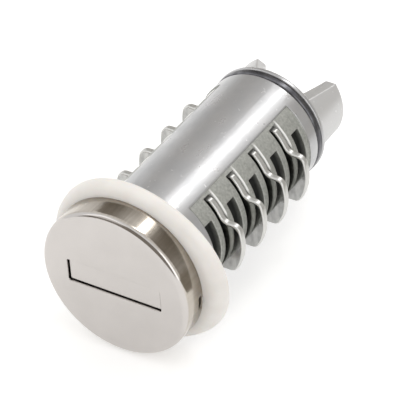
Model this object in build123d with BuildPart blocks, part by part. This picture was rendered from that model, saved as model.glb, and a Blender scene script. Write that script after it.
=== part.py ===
from build123d import *
import os
from math import pi, radians, sqrt, tan

# Wafer lock cylinder: a key-turned plug with a pressed face cap, a sprung keyhole shutter,
# opposed wafers on springs, a pale seal ring and a dark snap ring.
# Sizes are in millimetres. The origin is the centre of the face, +Y runs to the rear, +Z is up,
# and the long side of the keyhole lies along X.

# Face cap
cap_diameter = 21.5
cap_depth = 3.8
cap_sheet = 0.5
cap_edge_radius = 0.5
cap_inner_radius = 0.15
cap_lip_width = 0.9
cap_fit = 0.03
head_chamfer = 0.35
crimp_count = 2
crimp_first_angle = -6.0
crimp_width = 1.1
crimp_height = 0.75
crimp_depth = 0.3
keyhole_width = 13.8
keyhole_height = 3.4
keyhole_corner = 0.3

# Key blade
key_width = 8.0
key_thickness = 2.6
key_clearance = 0.1

# Keyhole shutter and its hinge
shutter_gap = 0.2
shutter_recess = 0.3
shutter_sheet = 0.8
shutter_crank = 0.1
shutter_pad_height = 1.0
hinge_depth = 1.4
hinge_pin_diameter = 0.8
hinge_clearance = 0.05
hinge_pin_fit = 0.02
hinge_pin_bearing = 1.0
knuckle_diameter = 1.3
knuckle_gap = 0.45
pocket_clearance = 0.15

# Shutter spring
shutter_wire = 0.2
shutter_coil_gap = 0.06
shutter_coil_turns = 4
shutter_coil_pitch = 0.66
shutter_leg_length = 2.7
shutter_leg_gap = 0.02

# Seal ring
seal_diameter = 25.3
seal_width = 2.2
seal_front_radius = 1.6
seal_rear_radius = 0.5
seal_fit = 0.05
seal_neck_depth = 0.2
seal_lead_in = 0.25

# Barrel
barrel_diameter = 16.8
journal_length = 4.6
flank_edge = 5.05
flank_recess = 0.2
draft_angle = 0.2
rear_land = 1.95
flange_width = 0.8
flange_chamfer = 0.25
keyway_end_wall = 1.0

# Wafers
wafer_count = 9
wafer_pitch = 2.65
wafer_thickness = 1.0
wafer_front_gap = 0.5
wafer_rear_gap = 0.1
wafer_travel = 2.0
wafer_height = 12.0
wafer_tail_height = 8.0
wafer_slot_gap = 0.15
wafer_end_gap = 0.45
wafer_flush_gap = 0.05
wafer_shoulder_height = 2.85
wafer_shoulder_gap = 0.05
wafer_tip_corner = 1.3
wafer_shoulder_fillet = 1.2
wafer_toe_height = 4.8
wafer_toe_corner = 1.2
wafer_toe_end = 5.4
wafer_edge_margin = 1.0
wafer_rear_margin = 1.6
wafer_codes = (2, 4, 1, 3, 5, 2, 4, 1, 3)
code_shallowest = 0.4
code_step = 0.3
ear_end = 1.0
guide_end = -2.3
stake_start = -1.4
stake_width = 0.8
stake_height = 0.9
stake_gap = 0.1

# Wafer springs
spring_wire = 0.26
spring_diameter = 1.3
spring_length = 4.2
spring_turns = 4

# Retaining ring
ring_width = 0.95
ring_wall = 0.8
ring_gap = 0.05
ring_below_surface = 0.05
ring_split = 2.0
ring_edge_radius = 0.25

# Rear drive dogs
dog_diameter = 14.6
dog_wall_thickness = 1.3
dog_edge_radius = 0.35
long_dog_length = 6.7
long_dog_base = 9.6
long_dog_tip = 7.3
short_dog_length = 4.1
short_dog_base = 10.8
short_dog_tip = 6.4
short_dog_angle = 150.0

# Places worked out from the sizes above
cap_radius = cap_diameter / 2
barrel_radius = barrel_diameter / 2
seal_rear = cap_depth + seal_width
flank_front = seal_rear + journal_length
first_slot = flank_front + wafer_edge_margin
last_slot = first_slot + (wafer_count - 1) * wafer_pitch
flank_rear = last_slot + wafer_rear_margin
groove_front = flank_rear + rear_land
seal_neck_radius = barrel_radius - seal_neck_depth
land_radius = barrel_radius - (groove_front - flank_front) * tan(radians(draft_angle))
ring_seat_radius = barrel_radius - ring_below_surface - ring_wall - ring_gap
groove_rear = groove_front + ring_width + 2 * ring_gap
flange_rear = groove_rear + flange_width
keyway_rear = groove_front - keyway_end_wall
slot_width = wafer_front_gap + wafer_thickness + wafer_rear_gap
slot_height = wafer_height + 2 * wafer_slot_gap
slot_tail_height = wafer_tail_height + 2 * wafer_slot_gap
shoulder_radius = barrel_radius - flank_recess - wafer_shoulder_gap
spring_floor = ear_end - spring_length
spring_line = (wafer_height + wafer_tail_height) / 4
head_front = cap_sheet + cap_fit
head_rear = cap_depth - cap_sheet - cap_fit
head_radius = cap_radius - cap_sheet - cap_fit
hinge_height = key_thickness / 2 + key_clearance + hinge_depth - shutter_recess
pin_radius = hinge_pin_diameter / 2
knuckle_radius = knuckle_diameter / 2
coil_radius = pin_radius + shutter_coil_gap + shutter_wire / 2
shutter_bottom = -keyhole_height / 2 + shutter_gap
shutter_half_width = keyhole_width / 2 - shutter_gap
shutter_back = shutter_recess + shutter_sheet
pocket_half_width = keyhole_width / 2 + pocket_clearance
pocket_floor = -keyhole_height / 2
pocket_ceiling = hinge_height + max(knuckle_radius, coil_radius + shutter_wire / 2) + pocket_clearance
pocket_rear = hinge_depth + hinge_height - shutter_bottom + 2 * pocket_clearance
dog_radius = dog_diameter / 2

REARWARD = (0, 1, 0)
# More than any radius here, for cuts that run right out of a piece
BEYOND = cap_diameter


def slice_at(depth):
    """Plane across the lock at a depth behind the face, with X to the right and Z up."""
    return Plane.XZ.offset(-depth)


def slot_depth(number):
    """Depth of the middle of a wafer's slot, counted from 1 at the front."""
    return first_slot + (number - 1) * wafer_pitch


def wafer_side(number):
    """+1 for a wafer that stands out on the +X side, -1 for one on the -X side."""
    return 1 if number % 2 == 0 else -1


def plane_across(number, depth):
    """Plane of a wafer at a depth: its local x points the way the wafer stands out, its local y is up."""
    side = wafer_side(number)
    return Plane(origin=(0, depth, 0), x_dir=(side, 0, 0), z_dir=(0, -side, 0))


def block(left, right, low, high, mode=Mode.ADD):
    """Rectangle between two local x and two local y values."""
    with Locations(((left + right) / 2, (low + high) / 2)):
        Rectangle(right - left, high - low, mode=mode)


def biarc(start, start_direction, end, end_direction):
    """Two arcs in one smooth line between two points, with the given directions at its ends."""
    chord = end - start
    along = chord.dot(start_direction + end_direction)
    across = 2 * (1 - start_direction.dot(end_direction))
    reach = (sqrt(along**2 + across * chord.dot(chord)) - along) / across
    middle = (start + end + (start_direction - end_direction) * reach) * 0.5
    first = TangentArc(start, middle, tangent=start_direction)
    TangentArc(middle, end, tangent=first % 1)


class Helix3:
    """A helix about an axis: its points and directions at a number of turns from its start."""

    def __init__(self, base, axis, radial, radius, pitch):
        self.base = base
        self.axis = axis
        self.radial = radial
        self.tangent = axis.cross(radial)
        self.radius = radius
        self.pitch = pitch

    def point(self, turns):
        """Where the wire's middle line is after a number of turns."""
        spoke = self.radial.rotate(Axis((0, 0, 0), self.axis), 360 * turns)
        return self.base + self.axis * (self.pitch * turns) + spoke * self.radius

    def direction(self, turns):
        """Which way the wire runs there."""
        around = self.tangent.rotate(Axis((0, 0, 0), self.axis), 360 * turns)
        return (self.axis * self.pitch + around * (2 * pi * self.radius)).normalized()

    def wind(self, turns):
        """Half-turn steps, each a pair of arcs."""
        for step in range(2 * turns):
            here, there = step / 2, (step + 1) / 2
            biarc(self.point(here), self.direction(here), self.point(there), self.direction(there))


def least_gap(path, wire, radius):
    """Least gap between one turn of a wound wire and the next, on points along its middle line."""
    spacing = wire / 4
    count = round(path.length / spacing)
    points = [path @ (step / count) for step in range(count + 1)]
    apart = round(pi * radius / spacing)
    pairs = [(a, b) for i, a in enumerate(points) for b in points[i + apart :]]
    return min((a - b).length for a, b in pairs) - wire


os.makedirs("parts", exist_ok=True)


# Face cap: a pressed cup with a rounded front edge, a lip turned in behind the head,
# the keyhole window and crimp marks at the rear of its skirt
with BuildPart() as face_cap:
    with BuildSketch(Plane.XY) as cap_profile:
        with BuildLine():
            FilletPolyline(
                (0, 0),
                (cap_radius, 0),
                (cap_radius, cap_depth),
                radius=cap_edge_radius,
            )
            Polyline(
                (cap_radius, cap_depth),
                (cap_radius - cap_sheet - cap_lip_width, cap_depth),
                (cap_radius - cap_sheet - cap_lip_width, cap_depth - cap_sheet),
                (cap_radius - cap_sheet, cap_depth - cap_sheet),
            )
            FilletPolyline(
                (cap_radius - cap_sheet, cap_depth - cap_sheet),
                (cap_radius - cap_sheet, cap_sheet),
                (0, cap_sheet),
                radius=cap_inner_radius,
            )
            Line((0, cap_sheet), (0, 0))
        make_face()
    revolve(axis=Axis.Y)
    with BuildSketch(slice_at(0)):
        RectangleRounded(keyhole_width, keyhole_height, keyhole_corner)
    extrude(amount=cap_sheet, dir=REARWARD, mode=Mode.SUBTRACT)
    with BuildSketch(slice_at(cap_depth - crimp_height)):
        with PolarLocations(cap_radius - crimp_depth / 2, crimp_count, crimp_first_angle):
            Rectangle(crimp_depth, crimp_width)
    extrude(amount=crimp_height, dir=REARWARD, mode=Mode.SUBTRACT)
face_cap.part.label = "face_cap"
export_step(face_cap.part, "parts/face_cap.step")


# Drive dogs: two tapered walls on the rear of the barrel that turn the lever behind the lock
def dog_outline(base, tip, length):
    """Tapered outline of a dog seen from the side, from inside the flange to its tip."""
    with BuildSketch(Plane.YZ) as outline:
        with BuildLine():
            Polyline(
                (flange_rear - flange_width / 2, -base / 2),
                (flange_rear, -base / 2),
                (flange_rear + length, -tip / 2),
                (flange_rear + length, tip / 2),
                (flange_rear, base / 2),
                (flange_rear - flange_width / 2, base / 2),
                close=True,
            )
        make_face()
    return outline


def dog_wall():
    """Round wall that a dog is cut from, seen from the end."""
    with BuildSketch(slice_at(flange_rear - flange_width / 2)) as ring:
        Circle(dog_radius)
        Circle(dog_radius - dog_wall_thickness, mode=Mode.SUBTRACT)
    return ring


with BuildPart() as long_dog:
    side_view = dog_outline(long_dog_base, long_dog_tip, long_dog_length)
    extrude(side_view.sketch, amount=dog_radius)
    end_view = dog_wall()
    extrude(end_view.sketch, amount=long_dog_length + flange_width / 2, dir=REARWARD, mode=Mode.INTERSECT)
    fillet(long_dog.faces().sort_by(Axis.Y)[-1].edges(), dog_edge_radius)

with BuildPart() as short_dog:
    side_view = dog_outline(short_dog_base, short_dog_tip, short_dog_length)
    extrude(side_view.sketch, amount=dog_radius)
    end_view = dog_wall()
    extrude(end_view.sketch, amount=short_dog_length + flange_width / 2, dir=REARWARD, mode=Mode.INTERSECT)
    fillet(short_dog.faces().sort_by(Axis.Y)[-1].edges(), dog_edge_radius)


# Barrel: head, neck under the seal ring, journal, a body with a little draft, ring groove and flange
with BuildPart() as barrel:
    with BuildSketch(Plane.XY):
        with BuildLine():
            Polyline(
                (0, head_front),
                (head_radius - head_chamfer, head_front),
                (head_radius, head_front + head_chamfer),
                (head_radius, head_rear),
                (seal_neck_radius, head_rear),
                (seal_neck_radius, seal_rear),
                (barrel_radius, seal_rear),
                (barrel_radius, flank_front),
                (land_radius, groove_front),
                (ring_seat_radius, groove_front),
                (ring_seat_radius, groove_rear),
                (barrel_radius, groove_rear),
                (barrel_radius, flange_rear),
                (0, flange_rear),
                close=True,
            )
        make_face()
    revolve(axis=Axis.Y)
    chamfer(barrel.edges().filter_by(GeomType.CIRCLE).sort_by(Axis.Y)[-1], flange_chamfer)

    # Flanks: the sides that the wafers come out of lie a little below the round
    with BuildSketch(slice_at(flank_front)):
        Circle(barrel_radius + flank_recess)
        Circle(barrel_radius - flank_recess, mode=Mode.SUBTRACT)
        Rectangle(2 * flank_edge, BEYOND, mode=Mode.SUBTRACT)
    extrude(amount=flank_rear - flank_front, dir=REARWARD, mode=Mode.SUBTRACT)

    # Wafer slots: a band right through, wide at the mouth, with a spring seat above the tail
    # and a staked point left standing in the floor
    for number in range(1, wafer_count + 1):
        with BuildSketch(plane_across(number, slot_depth(number))):
            block(-BEYOND, BEYOND, -slot_tail_height / 2, slot_tail_height / 2)
            block(spring_floor, BEYOND, 0, slot_height / 2)
            block(guide_end - wafer_travel - wafer_slot_gap, BEYOND, -slot_height / 2, 0)
            block(
                stake_start,
                stake_start + stake_width,
                -slot_height / 2,
                -slot_height / 2 + stake_height,
                mode=Mode.SUBTRACT,
            )
        extrude(amount=slot_width / 2, both=True, mode=Mode.SUBTRACT)

    # Keyway for the blade, and the wider pocket behind the face for the shutter
    with BuildSketch(slice_at(head_front)):
        Rectangle(key_width + 4 * key_clearance, key_thickness + 2 * key_clearance)
    extrude(amount=keyway_rear - head_front, dir=REARWARD, mode=Mode.SUBTRACT)
    with BuildSketch(slice_at(head_front)):
        block(-pocket_half_width, pocket_half_width, pocket_floor, pocket_ceiling)
    extrude(amount=pocket_rear - head_front, dir=REARWARD, mode=Mode.SUBTRACT)

    # Open bearings that the hinge pin is laid in from the front
    pin_reach = pocket_half_width + hinge_pin_bearing + hinge_pin_fit
    with BuildSketch(Plane.YZ):
        block(
            0,
            hinge_depth,
            hinge_height - pin_radius - hinge_pin_fit,
            hinge_height + pin_radius + hinge_pin_fit,
        )
        with Locations((hinge_depth, hinge_height)):
            Circle(pin_radius + hinge_pin_fit)
    extrude(amount=pin_reach, both=True, mode=Mode.SUBTRACT)

    add(long_dog.part)
    add(short_dog.part.rotate(Axis.Y, -short_dog_angle))
barrel.part.label = "barrel"
export_step(barrel.part, "parts/barrel.step")


# Keyhole shutter: a flap that fills the window, cranked back behind the cap to its two knuckles,
# with a pad on its back for the spring
with BuildPart() as keyhole_shutter:
    crank_front = head_front + shutter_crank
    crank_foot = keyhole_height / 2 - shutter_gap / 2
    coil_half_width = shutter_coil_turns * shutter_coil_pitch / 2 + shutter_wire / 2 + knuckle_gap
    pad_back = hinge_depth + coil_radius - shutter_wire / 2 - shutter_leg_gap
    with BuildSketch(Plane.YZ):
        block(shutter_recess, shutter_back, shutter_bottom, crank_foot)
        block(crank_front, shutter_back, crank_foot - shutter_sheet, hinge_height)
        with Locations((hinge_depth, hinge_height)):
            Circle(knuckle_radius)
    extrude(amount=shutter_half_width, both=True)
    with BuildSketch(Plane.YZ):
        with Locations((hinge_depth, hinge_height)):
            Circle(pin_radius + hinge_clearance)
    extrude(amount=shutter_half_width, both=True, mode=Mode.SUBTRACT)
    with BuildSketch(Plane.YZ):
        block(0, pocket_rear, crank_foot, pocket_ceiling)
    extrude(amount=coil_half_width, both=True, mode=Mode.SUBTRACT)
    with BuildSketch(Plane.YZ):
        block(shutter_back, pad_back, -shutter_pad_height / 2, shutter_pad_height / 2)
    extrude(amount=coil_half_width + knuckle_gap, both=True)
keyhole_shutter.part.label = "keyhole_shutter"
export_step(keyhole_shutter.part, "parts/keyhole_shutter.step")


# Shutter pin
with BuildPart() as shutter_pin:
    with BuildSketch(Plane.YZ):
        with Locations((hinge_depth, hinge_height)):
            Circle(pin_radius)
    extrude(amount=pocket_half_width + hinge_pin_bearing, both=True)
    chamfer(shutter_pin.edges().filter_by(GeomType.CIRCLE), pin_radius / 4)
shutter_pin.part.label = "shutter_pin"
export_step(shutter_pin.part, "parts/shutter_pin.step")


# Shutter spring: a coil on the pin, with one leg up to the pocket roof and one down to the pad
with BuildPart() as shutter_spring:
    coil = Helix3(
        base=Vector(shutter_coil_turns * shutter_coil_pitch / 2, hinge_depth, hinge_height),
        axis=Vector(-1, 0, 0),
        radial=Vector(0, 1, 0),
        radius=coil_radius,
        pitch=shutter_coil_pitch,
    )
    roof_reach = pocket_ceiling - hinge_height - shutter_wire / 2
    with BuildLine() as shutter_spring_path:
        Line(coil.point(0) - coil.direction(0) * roof_reach, coil.point(0))
        coil.wind(shutter_coil_turns)
        coil_end = coil.point(shutter_coil_turns)
        Line(coil_end, coil_end + coil.direction(shutter_coil_turns) * shutter_leg_length)
    shutter_spring_wire = shutter_spring_path.wires()[0]
    with BuildSketch(Plane(origin=shutter_spring_path.line @ 0, z_dir=coil.direction(0))):
        Circle(shutter_wire / 2)
    sweep()
shutter_spring.part.label = "shutter_spring"
export_step(shutter_spring.part, "parts/shutter_spring.step")
shutter_spring_gap = least_gap(shutter_spring_wire, shutter_wire, coil_radius)
print("shutter spring: least gap to itself", round(shutter_spring_gap, 3))


# Seal ring: soft pale ring stretched over the neck behind the cap. Its lead-in lets it pass the journal
with BuildPart() as seal_ring:
    with BuildSketch(Plane.XY):
        block(seal_neck_radius + seal_fit, seal_diameter / 2, cap_depth, seal_rear)
    revolve(axis=Axis.Y)
    rims = seal_ring.edges().filter_by(GeomType.CIRCLE).sort_by(SortBy.RADIUS)
    fillet(rims[-2:].sort_by(Axis.Y)[0], seal_front_radius)
    rims = seal_ring.edges().filter_by(GeomType.CIRCLE).filter_by_position(Axis.Y, seal_rear, seal_rear)
    fillet(rims.sort_by(SortBy.RADIUS)[-1], seal_rear_radius)
    chamfer(rims.sort_by(SortBy.RADIUS)[0], seal_lead_in)
seal_ring.part.label = "seal_ring"
export_step(seal_ring.part, "parts/seal_ring.step")


# Retaining ring: split snap ring closed down in its groove, with the split underneath
with BuildPart() as retaining_ring:
    ring_outside = barrel_radius - ring_below_surface
    with BuildSketch(Plane.XY):
        block(ring_outside - ring_wall, ring_outside, groove_front + ring_gap, groove_rear - ring_gap)
    revolve(axis=Axis.Y)
    rims = retaining_ring.edges().filter_by(GeomType.CIRCLE).sort_by(SortBy.RADIUS)[-2:]
    fillet(rims, ring_edge_radius)
    with BuildSketch(slice_at(groove_front)):
        block(-ring_split / 2, ring_split / 2, -barrel_radius, 0)
    extrude(amount=groove_rear - groove_front, dir=REARWARD, mode=Mode.SUBTRACT)
retaining_ring.part.label = "retaining_ring"
export_step(retaining_ring.part, "parts/retaining_ring.step")


# Wafers: flat plates that stand out by their travel and lie nearer the rear of their slots. Each
# end is round, so that it comes flush with the barrel when the key holds it, and its toe is cut short
# below. Each window is placed for its own depth of cut
for number in range(1, wafer_count + 1):
    cut_depth = code_shallowest + code_step * wafer_codes[(number - 1) % len(wafer_codes)]
    window_inner = wafer_travel - key_width / 2 + cut_depth
    window_outer = wafer_travel + key_width / 2 + 2 * key_clearance
    window_half_height = key_thickness / 2 + key_clearance
    half_height = wafer_height / 2
    half_tail = wafer_tail_height / 2
    flush_radius = barrel_radius - wafer_flush_gap
    tip_x = wafer_travel + sqrt(flush_radius**2 - wafer_shoulder_height**2)
    foot_x = sqrt(shoulder_radius**2 - wafer_shoulder_height**2)
    toe_x = wafer_travel + sqrt(flush_radius**2 - wafer_toe_height**2)
    notch_top = -slot_height / 2 + stake_height + stake_gap
    notch_end = stake_start + stake_width + wafer_travel + stake_gap
    depth = slot_depth(number) + (wafer_front_gap - wafer_rear_gap) / 2
    frame = plane_across(number, depth)
    with BuildPart() as wafer:
        with BuildSketch(frame):
            block(-BEYOND, BEYOND, -half_tail, half_tail)
            block(ear_end, BEYOND, 0, slot_height / 2 - wafer_end_gap)
            block(guide_end, BEYOND, -half_height, 0)
            with Locations((wafer_travel, 0)):
                Circle(flush_radius, mode=Mode.INTERSECT)
        extrude(amount=wafer_thickness / 2, both=True)
        with BuildSketch(frame):
            block(0, BEYOND, wafer_shoulder_height, BEYOND)
            Circle(shoulder_radius, mode=Mode.SUBTRACT)
            block(wafer_toe_end, BEYOND, -BEYOND, -wafer_toe_height)
            block(window_inner, window_outer, -window_half_height, window_half_height)
            block(stake_start - stake_gap, notch_end, -half_height, notch_top)
        extrude(amount=wafer_thickness / 2, both=True, mode=Mode.SUBTRACT)
        cross_edges = wafer.edges().filter_by(Axis.Y)
        side = wafer_side(number)
        tip_corner = (side * tip_x, depth, wafer_shoulder_height)
        shoulder_foot = (side * foot_x, depth, wafer_shoulder_height)
        fillet(cross_edges.sort_by_distance(shoulder_foot)[0], wafer_shoulder_fillet)
        cross_edges = wafer.edges().filter_by(Axis.Y)
        fillet(cross_edges.sort_by_distance(tip_corner)[0], wafer_tip_corner)
        cross_edges = wafer.edges().filter_by(Axis.Y)
        toe_corner = (side * toe_x, depth, -wafer_toe_height)
        fillet(cross_edges.sort_by_distance(toe_corner)[0], wafer_toe_corner)
    wafer.part.label = f"wafer_{number}"
    export_step(wafer.part, f"parts/wafer_{number}.step")


# Wafer springs: coils between the end of the slot and the wafer's ear, whose wire is turned in
# to meet both squarely
for number in range(1, wafer_count + 1):
    frame = plane_across(number, slot_depth(number))
    outward = frame.x_dir
    coil_middle_radius = (spring_diameter - spring_wire) / 2
    bend = spring_wire
    straight_ends = 2 * (spring_wire + bend)
    for _ in range(4):
        coil_pitch = (spring_length - straight_ends) / spring_turns
        slope = coil_pitch / sqrt(coil_pitch**2 + (2 * pi * coil_middle_radius) ** 2)
        straight_ends = 2 * (spring_wire + bend * (1 + slope))
    seat = frame.origin + outward * spring_floor + Vector(0, 0, spring_line)
    coil = Helix3(
        base=seat + outward * (straight_ends / 2),
        axis=outward,
        radial=frame.z_dir,
        radius=coil_middle_radius,
        pitch=coil_pitch,
    )
    with BuildPart() as wafer_spring:
        with BuildLine() as wafer_spring_path:
            start, start_direction = coil.point(0), coil.direction(0)
            end, end_direction = coil.point(spring_turns), coil.direction(spring_turns)
            foot = start - (start_direction + outward) * bend
            top = end + (end_direction + outward) * bend
            Line(foot - outward * spring_wire, foot)
            biarc(foot, outward, start, start_direction)
            coil.wind(spring_turns)
            biarc(end, end_direction, top, outward)
            Line(top, top + outward * spring_wire)
        wafer_spring_wire = wafer_spring_path.wires()[0]
        with BuildSketch(Plane(origin=foot - outward * spring_wire, z_dir=outward)):
            Circle(spring_wire / 2)
        sweep()
    wafer_spring.part.label = f"wafer_spring_{number}"
    export_step(wafer_spring.part, f"parts/wafer_spring_{number}.step")
wafer_spring_gap = least_gap(wafer_spring_wire, spring_wire, coil_middle_radius)
print("wafer spring: least gap to itself", round(wafer_spring_gap, 3))
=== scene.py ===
"""Looks of a wafer lock cylinder: its finishes, its visible pieces and a plain studio.

Lengths are in millimetres in the classes, except where a studio class says metres, and are turned
to metres where a mesh is made. The origin is the centre of the cap's face, +Y runs to the rear and
+Z is up.
"""
import logging
from collections.abc import Sequence
from dataclasses import dataclass
from enum import Enum
from math import atan2, radians

import bpy
import numpy as np
from mathutils import Matrix, Vector


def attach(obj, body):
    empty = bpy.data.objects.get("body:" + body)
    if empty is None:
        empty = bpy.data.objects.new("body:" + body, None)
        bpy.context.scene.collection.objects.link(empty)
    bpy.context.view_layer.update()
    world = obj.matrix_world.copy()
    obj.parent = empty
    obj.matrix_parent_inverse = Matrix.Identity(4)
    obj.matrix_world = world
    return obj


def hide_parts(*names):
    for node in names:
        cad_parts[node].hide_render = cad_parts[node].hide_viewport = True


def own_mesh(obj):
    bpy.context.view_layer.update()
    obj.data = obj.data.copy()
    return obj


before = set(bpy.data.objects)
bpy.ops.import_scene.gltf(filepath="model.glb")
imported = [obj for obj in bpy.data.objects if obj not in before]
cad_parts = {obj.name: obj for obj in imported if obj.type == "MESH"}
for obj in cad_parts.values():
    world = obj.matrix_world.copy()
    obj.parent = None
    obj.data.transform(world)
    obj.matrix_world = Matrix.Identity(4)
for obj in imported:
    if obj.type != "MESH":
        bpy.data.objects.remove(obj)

MM = 0.001  # a millimetre in metres
FAR = 100.0  # a length past every point of the part
IMAGE_WIDTH = 400  # pixels
PRESSED = "pressed"  # the attribute that holds how far in a point of the cap is pressed
log = logging.getLogger("lock_cylinder")

Colour = tuple[float, float, float, float]
Socket = bpy.types.NodeSocket
Tree = bpy.types.NodeTree
Piece = bpy.types.Object
Material = bpy.types.Material


class Slot(Enum):
    """Names of the record's material slots."""

    CAP = "bright_cap"
    SHUTTER = "shutter_plate"
    SEAL = "ivory_ring"
    BARREL = "zinc"
    WAFER = "wafer_plate"
    SNAP_RING = "dark_steel"
    SPRING = "spring_wire"


class Axis(Enum):
    """Places of X, Y and Z in a point."""

    X = 0
    Y = 1
    Z = 2


# Colours and nodes


def linear(hex_colour: str) -> Colour:
    """Turns an sRGB hex colour into linear red, green, blue and alpha.

    Each channel c becomes c / 12.92 up to 0.04045, and ((c + 0.055) / 1.055) ** 2.4 above.

    Args:
        hex_colour: a hash and six hex digits.

    Returns:
        Linear values from 0 to 1.
    """
    encoded = np.array([int(hex_colour[i : i + 2], 16) for i in (1, 3, 5)]) / 255
    values = np.where(encoded <= 0.04045, encoded / 12.92, ((encoded + 0.055) / 1.055) ** 2.4)
    return (*values.tolist(), 1.0)


def add(tree: Tree, kind: str, inputs: dict, output: int | str = 0, **settings) -> Socket | None:
    """Adds a node with its settings and links.

    Args:
        tree: the node tree.
        kind: the node's type, without its ShaderNode prefix.
        inputs: socket name or number to a value, a hex colour, or an output that is linked to it.
        output: name or number of the output that is wanted.
        **settings: properties of the node itself.

    Returns:
        The wanted output, or None from a node that has no outputs.
    """
    made = tree.nodes.new("ShaderNode" + kind)
    for name, value in settings.items():
        setattr(made, name, value)
    for key, value in inputs.items():
        if isinstance(value, Socket):
            tree.links.new(value, made.inputs[key])
        elif isinstance(value, str):
            made.inputs[key].default_value = linear(value)
        else:
            made.inputs[key].default_value = value
    return made.outputs[output] if made.outputs else None


def cleared_tree(owner: Material | bpy.types.World) -> Tree:
    """Gives a material or the world a node tree with nothing in it yet.

    Args:
        owner: the material or the world.

    Returns:
        Its node tree.
    """
    owner.use_nodes = True
    owner.node_tree.nodes.clear()
    return owner.node_tree


def band(tree: Tree, value: Socket, low: float, high: float, soft: float) -> Socket:
    """Share that is 1 where a value lies between two sizes, and 0 elsewhere, with soft ends.

    It is the smaller of a rise at the low end and a fall at the high end.

    Args:
        tree: the material's node tree.
        value: the value, in metres.
        low: where the band begins, in millimetres.
        high: where it ends, in millimetres.
        soft: how far to either side of an end the share changes, in millimetres.

    Returns:
        The share.
    """
    start = {"Value": value, "From Min": (low - soft) * MM, "From Max": (low + soft) * MM}
    end = {"Value": value, "From Min": (high + soft) * MM, "From Max": (high - soft) * MM}
    rise, fall = add(tree, "MapRange", start), add(tree, "MapRange", end)
    return add(tree, "Math", {0: rise, 1: fall}, operation="MINIMUM")


def connect(tree: Tree, surface: bpy.types.Node, looks: dict[str, Socket]) -> None:
    """Links each output to the surface's socket of its name, in place of what was linked there."""
    for name, look in looks.items():
        tree.links.new(look, surface.inputs[name])


# Finishes


@dataclass(frozen=True)
class Noise:
    """A pattern of soft-edged patches, and the relief that it gives.

    Attributes:
        size: size of a patch along X, Y and Z.
        contrast: half of the span of noise that is stretched to 0..1.
        depth: depth of the relief. A pattern of colour alone has none.
        middle: middle of the span. Above 0.5 the patches are islands, fewer as it rises.
    """

    size: tuple[float, float, float]
    contrast: float
    depth: float = 0.0
    middle: float = 0.5

    def patches(self, tree: Tree, place: Socket) -> Socket:
        """Share from 0 to 1, in soft-edged patches over the piece.

        Args:
            tree: the material's node tree.
            place: object coordinates, in metres.

        Returns:
            The share.
        """
        scaled = add(tree, "Mapping", {"Vector": place, "Scale": [1 / (size * MM) for size in self.size]})
        raw = add(tree, "TexNoise", {"Vector": scaled, "Scale": 1.0, "Detail": 3.0})
        low, high = self.middle - self.contrast, self.middle + self.contrast
        return add(tree, "MapRange", {"Value": raw, "From Min": low, "From Max": high})


@dataclass(frozen=True)
class Finish:
    """A surface finish, from which one material is made.

    Attributes:
        name: the material's plain name.
        colour: base colour as sRGB hex.
        shade: the other base colour that the pattern mixes in.
        roughness: mean roughness.
        spread: how far the pattern moves the roughness either way.
        metallic: 1 for a metal, 0 for a plastic.
    """

    name: str
    colour: str
    shade: str
    roughness: float
    spread: float
    metallic: float = 1.0

    def material(self) -> Material:
        """Makes the material: a principled surface under this finish's own pattern.

        Returns:
            The material.
        """
        made = bpy.data.materials.new(self.name)
        tree = cleared_tree(made)
        surface = tree.nodes.new("ShaderNodeBsdfPrincipled")
        surface.inputs["Metallic"].default_value = self.metallic
        add(tree, "OutputMaterial", {"Surface": surface.outputs["BSDF"]})
        self.pattern(tree, add(tree, "TexCoord", {}, "Object"), surface)
        return made

    def pattern(self, tree: Tree, place: Socket, surface: bpy.types.Node) -> None:
        """Links the finish's own colour, roughness and relief.

        Args:
            tree: the material's node tree.
            place: object coordinates, in metres.
            surface: the principled node.
        """
        raise NotImplementedError

    def coat(
        self, tree: Tree, surface: bpy.types.Node, share: Socket, reliefs: Sequence[tuple[Socket, Noise]]
    ) -> tuple[Socket, Socket]:
        """Gives a surface its two colours, its roughness and its relief, one bump over the other.

        Args:
            tree: the material's node tree.
            surface: the principled node.
            share: 0 for the shade and its rougher skin, 1 for the colour and its smoother one.
            reliefs: height sockets, each with the noise that holds its depth.

        Returns:
            The colour and the roughness, for a pattern that lays more over them.
        """
        colour = add(tree, "Mix", {0: share, 6: self.shade, 7: self.colour}, 2, data_type="RGBA")
        dull, smooth = self.roughness + self.spread, self.roughness - self.spread
        rough = add(tree, "MapRange", {"Value": share, "To Min": dull, "To Max": smooth})
        bumps = {}
        for height, noise in reliefs:
            inputs = {"Height": height, "Distance": noise.depth * MM, "Strength": 1.0}
            bumps = {"Normal": add(tree, "Bump", inputs | bumps)}
        connect(tree, surface, {"Base Color": colour, "Roughness": rough} | bumps)
        return colour, rough


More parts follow.
